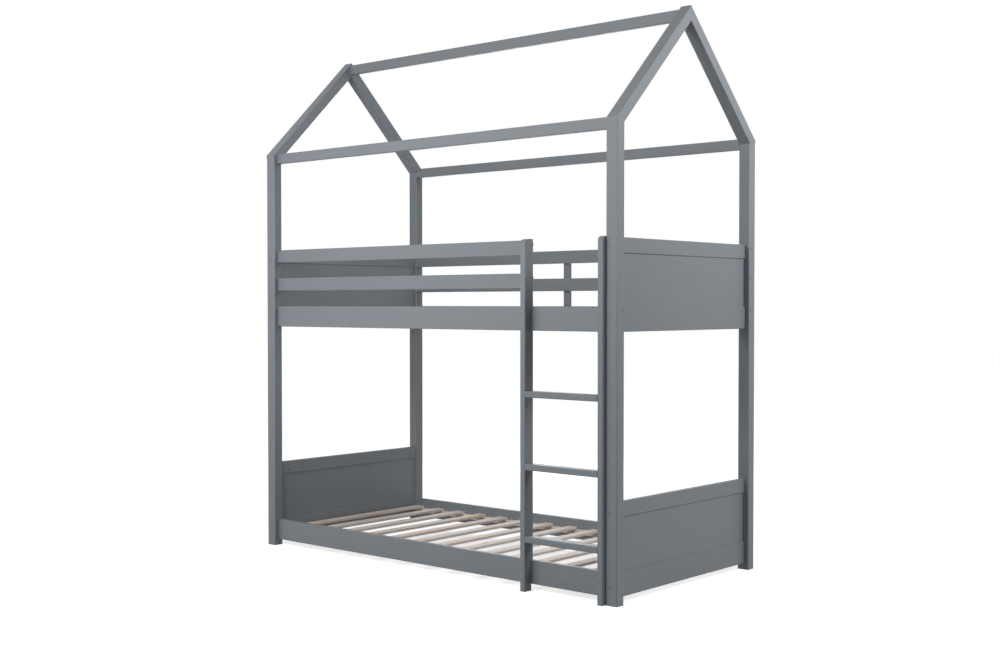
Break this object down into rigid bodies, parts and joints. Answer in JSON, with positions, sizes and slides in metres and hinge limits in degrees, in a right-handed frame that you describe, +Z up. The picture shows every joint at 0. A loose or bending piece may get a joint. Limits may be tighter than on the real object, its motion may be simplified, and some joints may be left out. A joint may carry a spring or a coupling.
{
  "type": "house-frame bunk bed",
  "caption": "House-frame bunk bed in grey painted wood with a gable roof frame, upright ladder, guard rails, panelled ends and bare pine slats.",
  "frame": {"origin": "on the floor, under the middle of the whole bed with its ladder; the middle between the posts lies 9.25 mm behind it", "axes": "+Z up, +X along the bed towards the end with the ladder, -Y the front, where the ladder is"},
  "size_m": [2.04, 1.0116, 2.3285],
  "materials": {
    "painted_wood": "satin grey paint with the grain faintly showing",
    "bare_pine": "planed and unfinished",
    "zinc_steel": "bright zinc plate",
    "beech": "turned and unfinished"
  },
  "bodies": {
    "root": {"front_left_post": "painted_wood", "front_right_post": "painted_wood", "rear_left_post": "painted_wood", "rear_right_post": "painted_wood", "front_left_rafter": "painted_wood", "front_right_rafter": "painted_wood", "rear_left_rafter": "painted_wood", "rear_right_rafter": "painted_wood", "ridge_beam": "painted_wood", "front_eave_beam": "painted_wood", "rear_eave_beam": "painted_wood", "lower_front_side_rail": "painted_wood", "lower_rear_side_rail": "painted_wood", "upper_front_side_rail": "painted_wood", "upper_rear_side_rail": "painted_wood", "lower_left_end_bottom_rail": "painted_wood", "lower_left_end_panel": "painted_wood", "lower_left_end_top_rail": "painted_wood", "lower_right_end_bottom_rail": "painted_wood", "lower_right_end_panel": "painted_wood", "lower_right_end_top_rail": "painted_wood", "upper_left_end_bottom_rail": "painted_wood", "upper_left_end_panel": "painted_wood", "upper_left_end_top_rail": "painted_wood", "upper_right_end_bottom_rail": "painted_wood", "upper_right_end_panel": "painted_wood", "upper_right_end_top_rail": "painted_wood", "front_guard_mid_rail": "painted_wood", "front_guard_top_rail": "painted_wood", "rear_guard_mid_rail": "painted_wood", "rear_guard_top_rail": "painted_wood", "rear_guard_batten": "painted_wood", "ladder_left_stile": "painted_wood", "ladder_right_stile": "painted_wood", "ladder_bottom_rung": "painted_wood", "ladder_middle_rung": "painted_wood", "ladder_top_rung": "painted_wood", "lower_front_ledger": "bare_pine", "lower_rear_ledger": "bare_pine", "upper_front_ledger": "bare_pine", "upper_rear_ledger": "bare_pine", "lower_slats": "bare_pine", "upper_slats": "bare_pine", "frame_bolts": "zinc_steel", "barrel_nuts": "zinc_steel", "ladder_bolts": "zinc_steel", "sleeve_nuts": "zinc_steel", "dowels": "beech", "cam_studs": "zinc_steel", "cam_locks": "zinc_steel", "rung_screws": "zinc_steel", "slat_screws": "zinc_steel", "frame_screws": "zinc_steel"}
  },
  "joints": []
}
